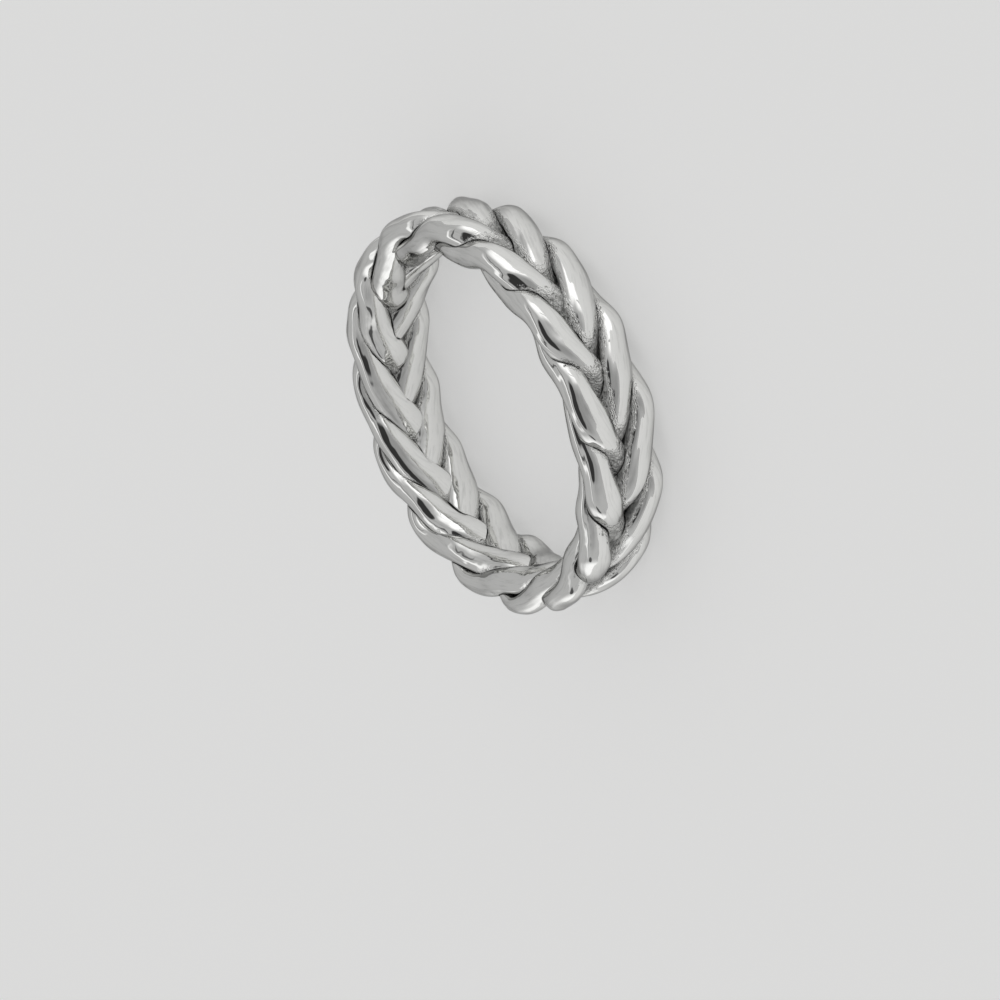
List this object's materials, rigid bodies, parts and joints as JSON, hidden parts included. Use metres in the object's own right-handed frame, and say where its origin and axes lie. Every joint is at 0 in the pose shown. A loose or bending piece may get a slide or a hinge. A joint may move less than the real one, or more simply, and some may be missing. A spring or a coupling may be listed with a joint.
{
  "type": "woven ring",
  "caption": "Finger ring made as a flat plait of rounded silver strands closed on itself, with scalloped edges and an open finger hole.",
  "frame": {"origin": "centre of the finger hole, on the surface that the ring lies on", "axes": "+Z along the finger hole's axis, up from the surface; +X and +Y across the ring"},
  "size_m": [0.0213, 0.0213, 0.0047],
  "materials": {
    "silver": "cast silver, polished on the crests and dull grey in the grooves"
  },
  "bodies": {
    "root": {"strand_1": "silver", "strand_2": "silver", "strand_3": "silver", "strand_4": "silver", "strand_5": "silver"}
  },
  "joints": []
}
